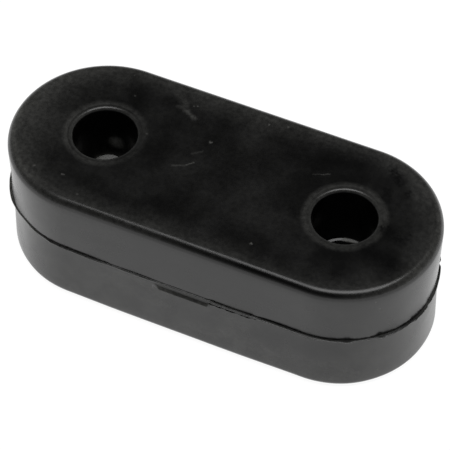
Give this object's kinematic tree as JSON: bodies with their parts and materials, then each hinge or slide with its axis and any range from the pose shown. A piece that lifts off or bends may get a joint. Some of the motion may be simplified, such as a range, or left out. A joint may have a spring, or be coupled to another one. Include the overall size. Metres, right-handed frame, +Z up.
{
  "type": "rubber exhaust hanger",
  "caption": "Thick moulded black rubber block with round ends and a through hole near each end, which hangs an exhaust pipe from a body rod.",
  "frame": {"origin": "middle of the flat bottom face, halfway between the two holes", "axes": "+X along the length through both holes, -Y towards the front with the torn strip of flash, +Z up along the holes"},
  "size_m": [0.0808, 0.0354, 0.026],
  "materials": {
    "black_rubber": "moulded black rubber with a soft sheen, dry scuffs and mould flash"
  },
  "bodies": {
    "root": {"rubber_block": "black_rubber"}
  },
  "joints": []
}
